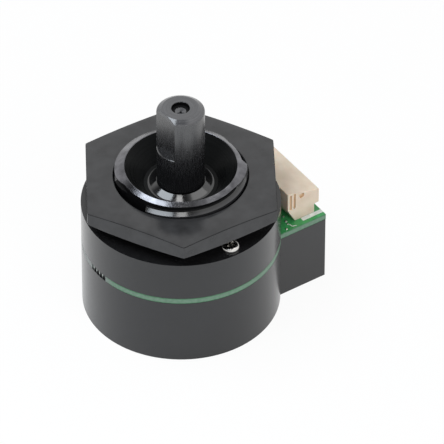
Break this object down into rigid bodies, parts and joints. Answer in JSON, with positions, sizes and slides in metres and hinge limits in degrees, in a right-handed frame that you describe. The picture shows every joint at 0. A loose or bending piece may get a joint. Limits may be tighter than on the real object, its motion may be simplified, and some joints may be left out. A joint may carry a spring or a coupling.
{
  "type": "optical rotary encoder",
  "caption": "Round optical rotary encoder with a D-flat shaft, a threaded bushing with panel nut, and a board tab with a side-entry plug socket.",
  "frame": {"origin": "on the shaft axis, at the panel face, where the bushing's pilot rises from the housing", "axes": "+Z out along the shaft, +X towards the board tab and its plug socket"},
  "size_m": [0.0306, 0.025, 0.0304],
  "materials": {
    "housing_black": "black anodised, satin",
    "bushing_black": "black anodised, turned, glossy in the bowl",
    "nut_black": "black plated, fine grain",
    "screw_nickel": "bright nickel plate",
    "shaft_black": "black oxide, ground",
    "bearing_black": "black bearing plastic, polished",
    "clip_steel": "spring steel",
    "hub_aluminium": "turned",
    "disc_steel": "etched sheet",
    "head_plastic": "moulded, matt",
    "chip_plastic": "moulded, matt",
    "mask_steel": "etched sheet",
    "lamp_clear": "water-clear resin",
    "tinned_metal": "tin plate",
    "board_green": "green solder resist over glass fibre laminate",
    "resistor_dark": "ceramic with dark glaze",
    "capacitor_tan": "fired ceramic",
    "socket_beige": "natural nylon, moulded",
    "cover_black": "moulded, smooth satin"
  },
  "bodies": {
    "base": {"upper_housing": "housing_black", "threaded_bushing": "bushing_black", "housing_screws": "screw_nickel", "upper_bearing": "bearing_black", "lower_bearing": "bearing_black", "optical_head": "head_plastic", "photo_sensor": "chip_plastic", "optical_mask": "mask_steel", "lamp": "lamp_clear", "lamp_leads": "tinned_metal", "main_board": "board_green", "signal_chip": "chip_plastic", "chip_resistors": "resistor_dark", "chip_capacitors": "capacitor_tan", "socket_shell": "socket_beige", "socket_pins": "tinned_metal", "lower_cover": "cover_black"},
    "rotor": {"shaft": "shaft_black", "thrust_washer": "clip_steel", "retaining_ring": "clip_steel", "disc_hub": "hub_aluminium", "hub_grub_screw": "clip_steel", "code_disc": "disc_steel", "disc_clamp_ring": "hub_aluminium"},
    "nut": {"hex_nut": "nut_black"}
  },
  "joints": [
    {"name": "shaft_spin", "type": "hinge", "parent": "base", "child": "rotor", "pos_m": [0, 0, 0], "axis": [0, 0, 1], "continuous": true},
    {"name": "nut_travel", "type": "slide", "parent": "base", "child": "nut", "axis": [0, 0, 1], "range_m": [0, 0.0035]}
  ]
}
